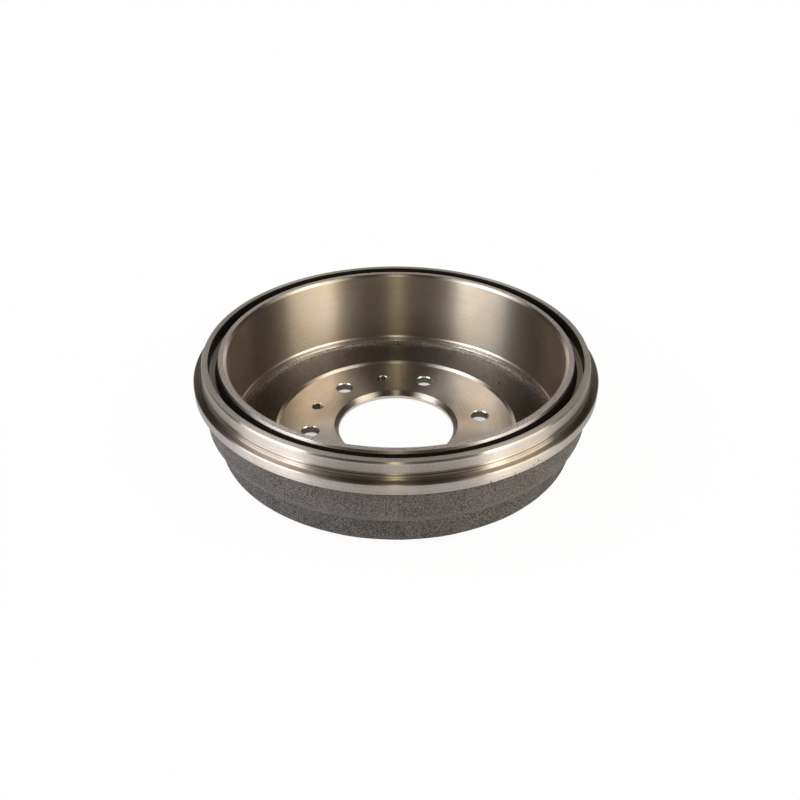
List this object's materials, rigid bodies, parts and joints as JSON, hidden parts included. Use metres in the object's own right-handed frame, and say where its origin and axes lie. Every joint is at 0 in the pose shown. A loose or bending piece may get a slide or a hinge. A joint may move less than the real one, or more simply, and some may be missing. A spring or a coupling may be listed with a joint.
{
  "type": "brake drum",
  "caption": "Cast iron brake drum with a turned shoe track, a dust groove between two lips at its open side, wheel stud holes, tapped jacking holes and a centring bore.",
  "frame": {"origin": "centre of the wheel face, on the drum's axis", "axes": "+Z along the drum's axis towards its open side, +X through the first wheel stud hole"},
  "size_m": [0.311, 0.311, 0.0774],
  "materials": {
    "cast_iron": "turned on its working faces, as cast elsewhere"
  },
  "bodies": {
    "root": {"brake_drum": "cast_iron"}
  },
  "joints": []
}
